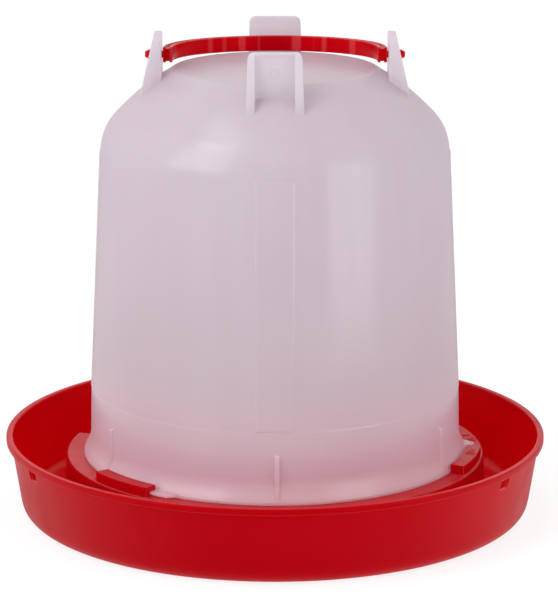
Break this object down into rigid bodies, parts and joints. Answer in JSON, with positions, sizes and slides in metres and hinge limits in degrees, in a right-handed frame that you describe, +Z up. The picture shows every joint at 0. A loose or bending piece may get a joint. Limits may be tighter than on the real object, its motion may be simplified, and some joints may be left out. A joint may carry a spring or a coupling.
{
  "type": "poultry waterer fount",
  "caption": "Siphon poultry drinker: round trough tray, twist-lock domed tank with moulded feet for filling upside down, and a folding half-ring handle.",
  "frame": {"origin": "centre of the tray's underside, on the surface it stands on", "axes": "+Z up along the tank's axis; +X along the handle's pins; -Y is the front, and the folded handle lies to +Y"},
  "size_m": [0.36, 0.36, 0.3198],
  "materials": {
    "red_tray_plastic": "satin-gloss injection-moulded polypropylene, saturated red",
    "natural_tank_plastic": "natural translucent polypropylene, milky with a soft sheen",
    "red_handle_plastic": "glossy injection-moulded polypropylene, saturated red"
  },
  "bodies": {
    "tray": {"drinking_tray": "red_tray_plastic"},
    "tank": {"water_tank": "natural_tank_plastic"},
    "handle": {"carrying_handle": "red_handle_plastic"}
  },
  "joints": [
    {"name": "tank_twist", "type": "hinge", "parent": "tray", "child": "tank", "pos_m": [0, 0, 0.0388], "axis": [0, 0, 1], "range_deg": [0, 25]},
    {"name": "handle_swing", "type": "hinge", "parent": "tank", "child": "handle", "pos_m": [0, 0, 0.3065], "axis": [1, 0, 0], "range_deg": [0, 186]}
  ]
}
